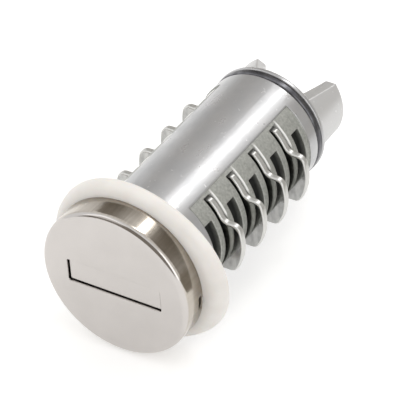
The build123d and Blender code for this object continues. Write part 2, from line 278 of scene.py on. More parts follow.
@dataclass(frozen=True)
class NickelPlate(Finish):
    """Bright nickel plate on pressed steel: a warm grey mirror, buffed in front, with a painted dark
    reflection behind.

    Real buffing lines and draw marks are a few microns wide. They are drawn wider here, or they
    wouldn't show.

    Attributes:
        lines: the buffing lines, which run along X and are fine along Z.
        clouds: wide soft differences in the plate.
        skirt_dark_reflection_colour: skirt's front colour, darker and browner than the face: painted
            reflection.
        skirt_rear_shade_colour: colour at its rear, darker still: painted shade over the ring's
            reflection.
        drawn_shade: colour of the draw marks, which run along the skirt.
        drawn_from: Y at which the skirt's colour sets in, and how softly.
        rear_shade_from: Y between which the skirt turns to its painted rear shade.
        draw_marks: the draw marks.
        mark_share: how far a draw mark turns the skirt to its own colour.
        crimp_shade_colour: painted shade in the crimps.
        crimp_shade_depths: shares of a crimp's depth between which that painted shade sets in.
    """

    lines: Noise = Noise((6.0, 6.0, 0.15), 0.3, 0.0004)
    clouds: Noise = Noise((4.0, 4.0, 4.0), 0.25)
    skirt_dark_reflection_colour: str = "#BFB8AE"
    skirt_rear_shade_colour: str = "#A1998E"
    drawn_shade: str = "#7A7268"
    drawn_from: tuple[float, float] = (0.5, 0.12)
    rear_shade_from: tuple[float, float] = (1.4, 3.7)
    draw_marks: Noise = Noise((0.25, 5.0, 0.25), 0.2)
    mark_share: float = 0.3
    crimp_shade_colour: str = "#2E2822"
    crimp_shade_depths: tuple[float, float] = (0.1, 0.6)

    def pattern(self, tree: Tree, place: Socket, surface: bpy.types.Node) -> None:
        """Buffing lines under clouds; the skirt's painted reflection and shade; the crimps' painted shade.

        Args:
            tree: the material's node tree.
            place: object coordinates, in metres.
            surface: the principled node.
        """
        lines = self.lines.patches(tree, place)
        clouds = self.clouds.patches(tree, place)
        buffed = self.coat(tree, surface, clouds, [(lines, self.lines)])[0]
        # The skirt's darker, browner colour is a painted reflection, darkened further towards the rear as
        # painted shade.
        start, soft = self.drawn_from
        along = add(tree, "SeparateXYZ", {0: place}, Axis.Y.value)
        drawn = band(tree, along, start, FAR, soft)
        shade_start, shade_full = self.rear_shade_from
        rear = add(tree, "MapRange", {"Value": along, "From Min": shade_start * MM, "From Max": shade_full * MM})
        skirt = add(tree, "Mix", {0: rear, 6: self.skirt_dark_reflection_colour, 7: self.skirt_rear_shade_colour}, 2, data_type="RGBA")
        marks = self.draw_marks.patches(tree, place)
        marked = add(tree, "Math", {0: marks, 1: self.mark_share}, operation="MULTIPLY")
        skirt = add(tree, "Mix", {0: marked, 6: skirt, 7: self.drawn_shade}, 2, data_type="RGBA")
        colour = add(tree, "Mix", {0: drawn, 6: buffed, 7: skirt}, 2, data_type="RGBA")
        # painted shade in the crimps, growing with their depth
        pressed = add(tree, "Attribute", {}, "Fac", attribute_name=PRESSED)
        light, deep = self.crimp_shade_depths
        crimp_shade = add(tree, "MapRange", {"Value": pressed, "From Min": light, "From Max": deep})
        colour = add(tree, "Mix", {0: crimp_shade, 6: colour, 7: self.crimp_shade_colour}, 2, data_type="RGBA")
        connect(tree, surface, {"Base Color": colour})


@dataclass(frozen=True)
class CastZinc(Finish):
    """Die-cast zinc: smooth satin, bright specks, rough flanks; painted shade in slots, light on drive
    dogs.

    Attributes:
        sheen: how metallic the skin is, the rest of it scattering light as a cast skin does.
        streaks: faint drag marks, which run along the casting.
        clouds: soft lighter and darker places.
        grain: the casting's grain, drawn coarser than the real one, which is too fine to show.
        specks: the bright specks.
        speck_colour: their colour.
        flank: half width, front and rear of the rough flanks, and how softly they begin.
        flank_colour: lighter colour of their grain.
        flank_shade: darker colour of their grain.
        flank_roughness: their roughness, which the slots share.
        slot_shade: distance from the axis below which shade is painted, how softly that begins, and how
            softly it ends along Y.
        slot_shade_colour: the painted shade's colour, down in the slots.
        dogs: Y past which the casting is painted paler and made matt, and how softly that begins.
        dog_painted_light_colour: the drive dogs' colour, paler than the casting's: painted light.
        dog_roughness: their roughness.
        dog_sheen: how metallic they are, and the painted highlight lines too.
        slot_edge: Y of the rear edge of the first slot, from one slot to the next, width of the painted
            highlight line there, and how soft the line's sides are.
        slot_highlight_span: Z between which that painted highlight runs, and how softly it ends.
        slot_edge_highlight_colour: its colour, a painted highlight.
    """

    sheen: float = 0.65
    streaks: Noise = Noise((0.5, 6.0, 0.5), 0.3, 0.0004)
    clouds: Noise = Noise((2.5, 4.0, 2.5), 0.25)
    grain: Noise = Noise((0.35, 0.35, 0.35), 0.2, 0.003)
    specks: Noise = Noise((0.7, 0.7, 0.7), 0.03, 0.004, 0.7)
    speck_colour: str = "#E4E4E5"
    flank: tuple[float, float, float, float] = (5.05, 10.6, 34.4, 0.02)
    flank_colour: str = "#BBBCB7"
    flank_shade: str = "#9B9D98"
    flank_roughness: float = 0.5
    slot_shade: tuple[float, float, float] = (7.7, 0.4, 0.1)
    slot_shade_colour: str = "#4D4E4D"
    dogs: tuple[float, float] = (38.25, 0.05)
    dog_painted_light_colour: str = "#CFCFCF"
    dog_roughness: float = 0.36
    dog_sheen: float = 0.42
    slot_edge: tuple[float, float, float, float] = (12.36, 2.65, 0.3, 0.04)
    slot_highlight_span: tuple[float, float, float] = (3.2, 6.3, 0.3)
    slot_edge_highlight_colour: str = "#F3F3F1"

    def pattern(self, tree: Tree, place: Socket, surface: bpy.types.Node) -> None:
        """Lays flanks, painted slot shade and dog light, and painted highlights over the specked round, in
        turn.

        The dogs and the painted highlight lines don't meet, so the larger of their shares sets the sheen.

        Args:
            tree: the material's node tree.
            place: object coordinates, in metres.
            surface: the principled node.
        """
        streaks = self.streaks.patches(tree, place)
        clouds = self.clouds.patches(tree, place)
        grain = self.grain.patches(tree, place)
        specks = self.specks.patches(tree, place)
        reliefs = [(streaks, self.streaks), (grain, self.grain), (specks, self.specks)]
        colour, rough = self.coat(tree, surface, clouds, reliefs)
        colour = add(tree, "Mix", {0: specks, 6: colour, 7: self.speck_colour}, 2, data_type="RGBA")
        flank_look = {0: grain, 6: self.flank_shade, 7: self.flank_colour}
        flank_colour = add(tree, "Mix", flank_look, 2, data_type="RGBA")
        dog_look = {0: specks, 6: self.dog_painted_light_colour, 7: self.speck_colour}
        dog_painted_light_colour = add(tree, "Mix", dog_look, 2, data_type="RGBA")
        start, soft = self.dogs
        along = add(tree, "SeparateXYZ", {0: place}, Axis.Y.value)
        dogs = band(tree, along, start, FAR, soft)
        flank = self.flank_share(tree, place)
        regions = [
            (flank, flank_colour, self.flank_roughness),
            # painted shade in the slots
            (self.slot_shade_share(tree, place), self.slot_shade_colour, self.flank_roughness),
            # painted light on the drive dogs
            (dogs, dog_painted_light_colour, self.dog_roughness),
        ]
        for share, region_colour, region_rough in regions:
            colour = add(tree, "Mix", {0: share, 6: colour, 7: region_colour}, 2, data_type="RGBA")
            rough = add(tree, "Mix", {0: share, 2: rough, 3: region_rough})
        # painted highlight along the rear edges of the slots
        wear_and_painted_light = self.slot_edge_highlight_share(tree, place, flank)
        colour = add(tree, "Mix", {0: wear_and_painted_light, 6: colour, 7: self.slot_edge_highlight_colour}, 2, data_type="RGBA")
        painted_pale_share = add(tree, "Math", {0: dogs, 1: wear_and_painted_light}, operation="MAXIMUM")
        sheen = add(tree, "Mix", {0: painted_pale_share, 2: self.sheen, 3: self.dog_sheen})
        connect(tree, surface, {"Base Color": colour, "Roughness": rough, "Metallic": sheen})

    def slot_edge_highlight_share(self, tree: Tree, place: Socket, flank: Socket) -> Socket:
        """Share of a painted highlight: 1 along the rear edge of every second slot of a flank.

        The slots that are wide on the +X side lie one pitch behind those that are wide on the -X
        side, so Y is first moved back by a pitch where X is over 0, and is then taken modulo two
        pitches.

        Args:
            tree: the material's node tree.
            place: object coordinates, in metres.
            flank: share that is 1 on the flanks.

        Returns:
            The share.
        """
        edge, pitch, width, soft = self.slot_edge
        across, along, up = (add(tree, "SeparateXYZ", {0: place}, axis.value) for axis in Axis)
        right = add(tree, "Math", {0: across, 1: 0.0}, operation="GREATER_THAN")
        shift = add(tree, "Math", {0: right, 1: pitch * MM, 2: edge * MM}, operation="MULTIPLY_ADD")
        behind = add(tree, "Math", {0: along, 1: shift}, operation="SUBTRACT")
        behind = add(tree, "Math", {0: behind, 1: 2 * pitch * MM}, operation="FLOORED_MODULO")
        line = band(tree, behind, 0, width, soft)
        within = band(tree, up, *self.slot_highlight_span)
        wear_and_painted_light = add(tree, "Math", {0: line, 1: within}, operation="MULTIPLY")
        return add(tree, "Math", {0: wear_and_painted_light, 1: flank}, operation="MULTIPLY")

    def flank_share(self, tree: Tree, place: Socket) -> Socket:
        """Share that is 1 on the flanks: where |X| is past their half width and Y between their ends.

        Args:
            tree: the material's node tree.
            place: object coordinates, in metres.

        Returns:
            The share.
        """
        half_width, front, rear, soft = self.flank
        across = add(tree, "SeparateXYZ", {0: place}, Axis.X.value)
        along = add(tree, "SeparateXYZ", {0: place}, Axis.Y.value)
        outward = add(tree, "Math", {0: across}, operation="ABSOLUTE")
        beside = band(tree, outward, half_width, FAR, soft)
        between = band(tree, along, front, rear, soft)
        return add(tree, "Math", {0: beside, 1: between}, operation="MULTIPLY")

    def slot_shade_share(self, tree: Tree, place: Socket) -> Socket:
        """Share of painted shade: 1 where the distance from the axis is small, as on the walls of the
        slots.

        Args:
            tree: the material's node tree.
            place: object coordinates, in metres.

        Returns:
            The share.
        """
        limit, soft, end_soft = self.slot_shade
        level = add(tree, "VectorMath", {0: place, 1: (1, 0, 1)}, operation="MULTIPLY")
        radius = add(tree, "VectorMath", {0: level}, "Value", operation="LENGTH")
        along = add(tree, "SeparateXYZ", {0: place}, Axis.Y.value)
        inner = band(tree, radius, -FAR, limit, soft)
        within = band(tree, along, 0, self.flank[2], end_soft)
        return add(tree, "Math", {0: inner, 1: within}, operation="MULTIPLY")


@dataclass(frozen=True)
class StampedSteel(Finish):
    """Stamped spring steel: bright sheared edges, darker faces, painted lighter at the toes and by the
    slot.

    Attributes:
        grain: grain of the rolled face.
        shear: shear marks across the edges, drawn wider than the real ones, or they wouldn't show.
        edge_colour: colour of the sheared edges.
        edge_roughness: their roughness.
        edge_sheen: how metallic they are. The torn half of a sheared edge scatters light.
        lighter_band: distance from the axis between which a face is painted lighter, and how softly.
        floor_reflection_toe: distance above and below the axis past which a face is painted lighter, as a
            painted reflection of the floor, and how softly that begins.
        lighter_share: how far that painting turns the face to the edge's colour.
        facing: how far the normal lies along Y where an edge ends and where a face begins.
    """

    grain: Noise = Noise((0.5, 0.5, 0.9), 0.2, 0.0008)
    shear: Noise = Noise((0.2, 4.0, 0.2), 0.2, 0.0006)
    edge_colour: str = "#D2D2CF"
    edge_roughness: float = 0.36
    edge_sheen: float = 0.9
    lighter_band: tuple[float, float, float] = (8.6, 9.2, 0.15)
    floor_reflection_toe: tuple[float, float] = (4.2, 0.8)
    lighter_share: float = 0.4
    facing: tuple[float, float] = (0.85, 0.97)

    def pattern(self, tree: Tree, place: Socket, surface: bpy.types.Node) -> None:
        """Faces are where the normal points along Y. Shear marks cross the edges.

        Args:
            tree: the material's node tree.
            place: object coordinates, in metres.
            surface: the principled node.
        """
        grain = self.grain.patches(tree, place)
        shear = self.shear.patches(tree, place)
        face, rough = self.coat(tree, surface, grain, [(grain, self.grain), (shear, self.shear)])
        outward, apart = (
            add(tree, "Math", {0: add(tree, "SeparateXYZ", {0: place}, axis.value)}, operation="ABSOLUTE")
            for axis in (Axis.X, Axis.Z)
        )
        # painted light on the faces: the floor's painted reflection on the toes, and a lighter band by the
        # slot
        start, soft = self.floor_reflection_toe
        toes = band(tree, apart, start, FAR, soft)
        rails = band(tree, outward, *self.lighter_band)
        wear_and_painted_light = add(tree, "Math", {0: toes, 1: rails}, operation="MAXIMUM")
        wear_and_painted_light = add(tree, "Math", {0: wear_and_painted_light, 1: self.lighter_share}, operation="MULTIPLY")
        face = add(tree, "Mix", {0: wear_and_painted_light, 6: face, 7: self.edge_colour}, 2, data_type="RGBA")
        normal = add(tree, "TexCoord", {}, "Normal")
        lengthwise = add(tree, "SeparateXYZ", {0: normal}, Axis.Y.value)
        facing = add(tree, "Math", {0: lengthwise}, operation="ABSOLUTE")
        edge, flat = self.facing
        on_face = add(tree, "MapRange", {"Value": facing, "From Min": edge, "From Max": flat})
        colour = add(tree, "Mix", {0: on_face, 6: self.edge_colour, 7: face}, 2, data_type="RGBA")
        rough = add(tree, "Mix", {0: on_face, 2: self.edge_roughness, 3: rough})
        sheen = add(tree, "Mix", {0: on_face, 2: self.edge_sheen, 3: self.metallic})
        connect(tree, surface, {"Base Color": colour, "Roughness": rough, "Metallic": sheen})


@dataclass(frozen=True)
class MouldedNylon(Finish):
    """Moulded natural nylon: ivory white and waxy, with a little light passing into it.

    Attributes:
        clouds: soft clouds of the moulding.
        texture: the mould's fine texture, drawn coarser than the real one, or it wouldn't show.
        scatter: share of the light that passes into it.
        reach: how far red, green and blue travel inside, as shares of the depth.
        depth: how far light travels inside.
        ior: refractive index of nylon.
    """

    clouds: Noise = Noise((3.0, 3.0, 3.0), 0.25)
    texture: Noise = Noise((0.3, 0.3, 0.3), 0.3, 0.002)
    scatter: float = 0.3
    reach: tuple[float, float, float] = (1.0, 0.8, 0.6)
    depth: float = 0.5
    ior: float = 1.53

    def pattern(self, tree: Tree, place: Socket, surface: bpy.types.Node) -> None:
        """Soft clouds of the moulding over a very fine texture.

        Args:
            tree: the material's node tree.
            place: object coordinates, in metres.
            surface: the principled node.
        """
        clouds = self.clouds.patches(tree, place)
        texture = self.texture.patches(tree, place)
        self.coat(tree, surface, clouds, [(texture, self.texture)])
        surface.inputs["Subsurface Weight"].default_value = self.scatter
        surface.inputs["Subsurface Radius"].default_value = self.reach
        surface.inputs["Subsurface Scale"].default_value = self.depth * MM
        surface.inputs["IOR"].default_value = self.ior


@dataclass(frozen=True)
class OxidedSteel(Finish):
    """Black oxide on spring steel: nearly black and satin, rubbed greyer here and there.

    Attributes:
        wear_and_painted_light: the rubbed patches, which are wear.
        drawn: drawn lines round the band, drawn wider than the real ones, or they wouldn't show.
    """

    wear_and_painted_light: Noise = Noise((1.6, 1.6, 1.6), 0.2)
    drawn: Noise = Noise((0.8, 0.12, 0.8), 0.3, 0.002)

    def pattern(self, tree: Tree, place: Socket, surface: bpy.types.Node) -> None:
        """Rubbed patches over drawn lines along the band.

        Args:
            tree: the material's node tree.
            place: object coordinates, in metres.
            surface: the principled node.
        """
        wear_and_painted_light = self.wear_and_painted_light.patches(tree, place)
        drawn = self.drawn.patches(tree, place)
        self.coat(tree, surface, wear_and_painted_light, [(drawn, self.drawn)])


@dataclass(frozen=True)
class DrawnWire(Finish):
    """Drawn spring wire: bright grey with die marks.

    Attributes:
        blotches: the die marks, drawn as blotches finer than the wire.
    """

    blotches: Noise = Noise((0.2, 0.2, 0.2), 0.2, 0.001)

    def pattern(self, tree: Tree, place: Socket, surface: bpy.types.Node) -> None:
        """Blotches set both the colour and the relief.

        Args:
            tree: the material's node tree.
            place: object coordinates, in metres.
            surface: the principled node.
        """
        blotches = self.blotches.patches(tree, place)
        self.coat(tree, surface, blotches, [(blotches, self.blotches)])


# Surfaces


def arc(centre: Sequence[float], radius: float, start: float, end: float, count: int) -> np.ndarray:
    """Points of an arc in a plane: centre + radius (cos a, sin a), with a from start to end.

    Args:
        centre: the arc's centre.
        radius: its radius.
        start: first angle, in degrees.
        end: last angle, in degrees.
        count: number of points.

    Returns:
        One row of two coordinates a point.
    """
    turn = np.radians(np.linspace(start, end, count))
    return np.stack([centre[0] + radius * np.cos(turn), centre[1] + radius * np.sin(turn)], axis=-1)


def ring_section(
    inner: float, outer: float, front: float, rear: float, radii: Sequence[float], count: int = 7
) -> np.ndarray:
    """Closed section of a ring, a rectangle whose four corners are quarter arcs.

    Each arc's centre lies its own radius in from both sides.

    Args:
        inner: least distance from the axis.
        outer: greatest distance from the axis.
        front: least Y.
        rear: greatest Y.
        radii: radii of the corners at inner front, outer front, outer rear and inner rear.
        count: number of points on each corner.

    Returns:
        One row of distance from the axis and Y a point.
    """
    inner_front, outer_front, outer_rear, inner_rear = radii
    corners = [
        arc((inner + inner_front, front + inner_front), inner_front, 180, 270, count),
        arc((outer - outer_front, front + outer_front), outer_front, 270, 360, count),
        arc((outer - outer_rear, rear - outer_rear), outer_rear, 0, 90, count),
        arc((inner + inner_rear, rear - inner_rear), inner_rear, 90, 180, count),
    ]
    return np.concatenate(corners)


def turned(section: np.ndarray, angles: np.ndarray) -> np.ndarray:
    """Carries a section round the Y axis: (r cos a, y, r sin a) for each of its points and each angle.

    Args:
        section: one row of distance from the axis and Y a point.
        angles: angles from +X towards +Z, in degrees.

    Returns:
        Points, with one row an angle and one column a point of the section.
    """
    turn = np.radians(angles)[:, None]
    radius, depth = section[None, :, 0], section[None, :, 1]
    return np.stack([radius * np.cos(turn), depth + 0 * turn, radius * np.sin(turn)], axis=-1)


def grid_faces(rows: int, columns: int, closed_rows: bool = True) -> np.ndarray:
    """Faces of a grid of points whose columns join up, and whose rows do where they are closed.

    Args:
        rows: number of rows.
        columns: number of points in a row.
        closed_rows: whether the last row joins the first.

    Returns:
        One row of four vertex numbers a face: a point, the one in the next row, and their neighbours.
    """
    here = np.arange(rows * columns).reshape(rows, columns)
    after = np.roll(here, -1, axis=0)
    corners = np.stack([here, after, np.roll(after, -1, axis=1), np.roll(here, -1, axis=1)], axis=-1)
    return (corners if closed_rows else corners[:-1]).reshape(-1, 4)


def put_in_scene(name: str, data: bpy.types.ID) -> Piece:
    """Makes an object of a mesh, a lamp or a camera, and links it to the scene.

    Args:
        name: its name.
        data: the mesh, lamp or camera.

    Returns:
        The object, which sits at the origin.
    """
    made = bpy.data.objects.new(name, data)
    bpy.context.scene.collection.objects.link(made)
    return made


def smooth_piece(name: str, points: np.ndarray, faces: Sequence[Sequence[int]], sharp: float) -> Piece:
    """Makes a mesh object that is shaded smoothly up to its sharp edges.

    Args:
        name: its name.
        points: one row a point, in metres.
        faces: vertex numbers of each face.
        sharp: angle between two faces, in degrees, above which their edge stays sharp.

    Returns:
        The object, which sits at the origin.
    """
    mesh = bpy.data.meshes.new(name)
    mesh.from_pydata(points.tolist(), [], faces)
    mesh.shade_smooth()
    mesh.set_sharp_from_angle(angle=radians(sharp))
    return put_in_scene(name, mesh)


def make_piece(
    name: str,
    points: np.ndarray,
    faces: np.ndarray,
    ends: Sequence[np.ndarray] = (),
    sharp: float = 40.0,
) -> Piece:
    """Makes a smooth piece with its faces turned outwards.

    The volume that its quads hold is the sum of (a x b) . c + (a x c) . d over their corners, up to
    a factor. Where that is negative, the faces are turned round.

    Args:
        name: the piece's name.
        points: points of the grid, in millimetres.
        faces: one row of four vertex numbers a face.
        ends: vertex numbers of faces that close the ends of an open grid.
        sharp: angle between two faces, in degrees, above which their edge stays sharp.

    Returns:
        The object, which sits at the origin.
    """
    flat = points.reshape(-1, 3) * MM
    a, b, c, d = (flat[faces[:, corner]] for corner in range(4))
    volume = (np.cross(a, b) * c).sum() + (np.cross(a, c) * d).sum()
    polygons = faces.tolist() + [end.tolist() for end in ends]
    if volume < 0:
        polygons = [polygon[::-1] for polygon in polygons]
    return smooth_piece(name, flat, polygons, sharp)


def joined_copy(node: str, sharp: float = 30.0) -> Piece:
    """Copies a CAD node as one smooth skin.

    Points at the same place, to a hundredth of a micron, become one point, and triangles that lose
    their area by it are left out.

    Args:
        node: name of the CAD node.
        sharp: angle between two faces, in degrees, above which their edge stays sharp.

    Returns:
        The copy, which takes the node's place and has no material yet.
    """
    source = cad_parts[node].data
    points = np.empty(3 * len(source.vertices))
    source.vertices.foreach_get("co", points)
    corners = np.empty(len(source.loops), dtype=int)
    source.loops.foreach_get("vertex_index", corners)
    places, numbers = np.unique(points.reshape(-1, 3).round(8), axis=0, return_inverse=True)
    faces = numbers.reshape(-1)[corners].reshape(-1, 3)
    whole = (faces != np.roll(faces, 1, axis=1)).all(axis=1)
    made = smooth_piece(node + "_skin", places, faces[whole].tolist(), sharp)
    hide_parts(node)
    return made


def rounded_copy(node: str, width: float, sharp: float = 30.0, flat: float = 0.3, steps: int = 3) -> Piece:
    """Copies a CAD node with its sharp edges rounded a little, as tumbling does.

    A planar Decimate joins the triangles of each flat face, and Bevel rounds the edges where two
    faces meet sharply. Weighted Normal lets the larger faces set the shading, so that they look
    flat up to their edges.

    Args:
        node: name of the CAD node.
        width: width of the rounding, in millimetres.
        sharp: angle between two faces, in degrees, above which their edge is rounded.
        flat: angle between two triangles, in degrees, below which they join.
        steps: number of faces across the rounding.

    Returns:
        The copy, which takes the node's place and has no material yet.
    """
    made = joined_copy(node, sharp)
    flats = made.modifiers.new("flats", "DECIMATE")
    flats.decimate_type = "DISSOLVE"
    flats.angle_limit = radians(flat)
    flats.delimit = {"SHARP"}
    rounding = made.modifiers.new("rounding", "BEVEL")
    rounding.width = width * MM
    rounding.segments = steps
    rounding.limit_method = "ANGLE"
    rounding.angle_limit = radians(sharp)
    rounding.harden_normals = True
    rounding.use_clamp_overlap = False
    shading = made.modifiers.new("shading", "WEIGHTED_NORMAL")
    shading.mode = "FACE_AREA_WITH_ANGLE"
    shading.keep_sharp = True
    return made


def dress(piece: Piece, finish: Material) -> None:
    """Gives a piece one material, in place of any that it has.

    Args:
        piece: the piece.
        finish: the material.
    """
    piece.data.materials.clear()
    piece.data.materials.append(finish)


# Sub-assemblies


@dataclass
class FaceCap:
    """Pressed cap: a drawn cup with the keyhole window, a lip turned in, and two crimps.

    Attributes:
        diameter: outside diameter.
        depth: depth of the skirt.
        sheet: thickness of the metal.
        edge_radius: radius of the front edge.
        rim_radius: radius of the skirt's rear edge and of the window's edge.
        lip_width: how far the lip reaches in.
        window: width, height and corner radius of the keyhole window.
        crimp_angles: places of the crimps, from +X towards +Z.
        crimp: half width along the rim, length along Y and depth of a crimp.
        rows: number of even angles round the axis.
        corner_rows: how far to either side of a window's corner there are further angles, and how many.
        crimp_rows: the same at a crimp.
        counts: number of points on a rim, over the face, along the skirt and on the front edge.
    """

    diameter: float = 21.5
    depth: float = 3.8
    sheet: float = 0.5
    edge_radius: float = 0.75
    rim_radius: float = 0.08
    lip_width: float = 0.9
    window: tuple[float, float, float] = (13.8, 3.4, 0.3)
    crimp_angles: tuple[float, float] = (-6.0, 174.0)
    crimp: tuple[float, float, float] = (0.95, 1.0, 0.35)
    rows: int = 288
    corner_rows: tuple[float, int] = (2.5, 25)
    crimp_rows: tuple[float, int] = (8.0, 49)
    counts: tuple[int, int, int, int] = (5, 14, 30, 9)

    def angles(self) -> np.ndarray:
        """Angles round the axis, closer together at the window's corners and at the crimps.

        Returns:
            Degrees, from +X towards +Z.
        """
        width, height, corner = self.window
        middle = np.degrees(np.arctan2(height / 2 - corner, width / 2 - corner))
        corners = np.array([0, 180, 180, 360]) + np.array([1, -1, 1, -1]) * middle
        reach, count = self.corner_rows
        near_corners = corners[:, None] + np.linspace(-reach, reach, count)
        reach, count = self.crimp_rows
        near_crimps = np.array(self.crimp_angles)[:, None] + np.linspace(-reach, reach, count)
        even = np.linspace(0, 360, self.rows, endpoint=False)
        every = np.concatenate([even, near_corners.ravel() % 360, near_crimps.ravel() % 360])
        return np.unique(np.round(every, 3))

    def window_edge(self, angles: np.ndarray, wider: np.ndarray) -> np.ndarray:
        """Distance from the axis to the window's edge at each angle.

        On a straight side it is min(a / |cos|, b / |sin|). Where that point lies past a corner's
        centre c, it is the far root of the line against the corner's circle,
        c . d + sqrt((c . d) ** 2 - |c| ** 2 + r ** 2). A cosine or sine of 0 counts as a tiny number.

        Args:
            angles: a column of angles in degrees.
            wider: a row of how much the window is widened on every side.

        Returns:
            One distance for each angle and each widening.
        """
        width, height, corner = self.window
        half = np.array([width / 2, height / 2])
        centre = half - corner
        radius = corner + wider
        turn = np.radians(angles)
        way = np.abs(np.stack([np.cos(turn), np.sin(turn)], axis=-1))
        straight = np.min((half + wider[:, None]) / np.maximum(way, 1e-9), axis=-1)
        along = way @ centre
        root = np.maximum(along**2 - centre @ centre + radius**2, 0)
        past = np.all(straight[..., None] * way > centre, axis=-1)
        return np.where(past, along + np.sqrt(root), straight)

    def profile(self) -> np.ndarray:
        """Closed section through the sheet, from the window's edge over the face and skirt and back.

        Returns:
            One row a point: the window edge's share in its distance from the axis, how much the
            window is widened there, the distance that takes the other share, and Y.
        """
        radius, rim = self.diameter / 2, self.rim_radius
        flat, inner, inner_rear = radius - self.edge_radius, radius - self.sheet, self.depth - self.sheet
        on_rim, on_face, on_skirt, on_edge = self.counts
        rounding = arc((rim, rim), rim, 180, 270, on_rim)
        share = np.linspace(1, 0, on_face)[1:-1]
        height = np.linspace(self.edge_radius, self.depth - rim, on_skirt)[1:-1]
        lip = inner - self.lip_width
        wall = np.concatenate(
            [
                arc((flat, self.edge_radius), self.edge_radius, -90, 0, on_edge),
                np.stack([0 * height + radius, height], axis=-1),
                arc((radius - rim, self.depth - rim), rim, 0, 90, on_rim),
                [(lip, self.depth), (lip, inner_rear), (inner, inner_rear), (inner, self.sheet)],
            ]
        )
        none, one = np.zeros(len(wall)), np.ones(len(rounding))
        return np.concatenate(
            [
                np.stack([one, rounding[:, 0], 0 * one, rounding[:, 1]], axis=-1),
                np.stack([share, 0 * share + rim, 0 * share + flat, 0 * share], axis=-1),
                np.stack([none, none, wall[:, 0], wall[:, 1]], axis=-1),
                [(1, 0, 0, self.sheet)],
            ]
        )

    def crimp_depth(self, angles: np.ndarray, height: np.ndarray) -> np.ndarray:
        """How far in the crimps press the skirt.

        Each is a trough along the rim, depth exp(-(arc / half width) ** 4) 4 s (1 - s), with s
        from 0 at its front to 1 at the rim.

        Args:
            angles: a column of angles in degrees.
            height: a row of places along Y.

        Returns:
            One depth for each angle and each place.
        """
        half_width, length, depth = self.crimp
        share = np.clip((height - (self.depth - length)) / length, 0, 1)
        apart = (angles[..., None] - np.array(self.crimp_angles) + 180) % 360 - 180
        across = np.radians(apart) * self.diameter / 2 / half_width
        return depth * np.exp(-(across**4)).sum(axis=-1) * 4 * share * (1 - share)

    def build(self) -> Piece:
        """Builds the cap as one closed grid, with an angle a row and a point of the section a column.

        A point's distance from the axis is share * window edge + (1 - share) * distance, so that on the
        face it runs evenly from the window to the rim. The crimps are taken off it on the skirt, and their
        depth is kept with the points, for the finish to paint shade into them.

        Returns:
            The cap's object.
        """
        angles = self.angles()[:, None]
        share, wider, distance, height = self.profile().T
        reach = share * self.window_edge(angles, wider) + (1 - share) * distance
        outside = reach > (self.diameter - self.sheet) / 2
        pressed = self.crimp_depth(angles, height) * outside
        reach = reach - pressed
        turn = np.radians(angles)
        points = np.stack([reach * np.cos(turn), height + 0 * reach, reach * np.sin(turn)], axis=-1)
        made = make_piece("cap_shell", points, grid_faces(*reach.shape))
        kept = made.data.attributes.new(PRESSED, "FLOAT", "POINT")
        kept.data.foreach_set("value", (pressed / self.crimp[2]).ravel())
        return made

    def dress(self) -> None:
        """Puts the cap in place of its CAD node, in bright nickel."""
        piece = self.build()
        dress(piece, NickelPlate("nickel_plate", "#C8C4C1", "#C3BFBC", 0.15, 0.03).material())
        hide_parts("face_cap")
        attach(piece, "barrel")
        log.info("cap: %d faces", len(piece.data.polygons))


@dataclass
class KeyholeShutter:
    """Sprung flap in the keyhole, its pin and its spring.

    The flap is shown by a copy of its solid with rounded edges, and the other two by their solids.

    Attributes:
        rounding: width of the rounding on the flap's edges.
    """

    rounding: float = 0.06

    def dress(self) -> None:
        """Finishes the flap in satin nickel and its pin and spring as bright wire."""
        flap = rounded_copy("keyhole_shutter", self.rounding)
        dress(flap, NickelPlate("satin_nickel", "#C8C4C1", "#C6C2BF", 0.26, 0.01).material())
        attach(flap, "shutter")
        wire = DrawnWire("spring_wire", "#C9C9C8", "#9C9D9E", 0.3, 0.06).material()
        for name in ("shutter_pin", "shutter_spring"):
            dress(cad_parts[name], wire)
        log.info("shutter: flap, pin and spring")


@dataclass
class SealRing:
    """Soft moulded ring behind the cap, stretched a little out of round.

    Attributes:
        inner: inside radius.
        outer: mean outside radius.
        front: Y of its front.
        rear: Y of its rear.
        radii: radii of its edges at inner front, outer front, outer rear and inner rear.
        bulges: how far it bulges towards one side, two sides and three sides, each with the angle
            of one of those sides.
        rows: number of angles round the axis.
    """

    inner: float = 8.25
    outer: float = 12.13
    front: float = 3.8
    rear: float = 6.0
    radii: tuple[float, float, float, float] = (0.1, 1.6, 0.5, 0.25)
    bulges: tuple[tuple[float, float], ...] = ((0.83, 48.0), (0.6, -1.0), (0.31, -10.0))
    rows: int = 240

    def build(self) -> Piece:
        """Turns the section round the axis and stretches it out of round.

        A point at angle a moves out by s times the sum of bulge cos(n (a - its side)) over n = 1,
        2 and 3, where s is 0 at the bore and 1 at the outside.

        Returns:
            The ring's object.
        """
        angles = np.linspace(0, 360, self.rows, endpoint=False)
        points = turned(ring_section(self.inner, self.outer, self.front, self.rear, self.radii), angles)
        distance = np.hypot(points[..., 0], points[..., 2])
        share = (distance - self.inner) / (self.outer - self.inner)
        bulge, side = np.array(self.bulges).T
        sides = np.arange(1, len(bulge) + 1)
        stretch = (bulge * np.cos(np.radians(sides * (angles[:, None] - side)))).sum(axis=1)
        scale = 1 + share * stretch[:, None] / distance
        points[..., 0] *= scale
        points[..., 2] *= scale
        return make_piece("seal_ring_body", points, grid_faces(*points.shape[:2]))

    def dress(self) -> None:
        """Puts the ring in place of its CAD node, in ivory nylon."""
        piece = self.build()
        dress(piece, MouldedNylon("natural_nylon", "#F3F0ED", "#EAE7E3", 0.42, 0.05, 0.0).material())
        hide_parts("seal_ring")
        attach(piece, "barrel")
        log.info("seal ring: %d faces", len(piece.data.polygons))


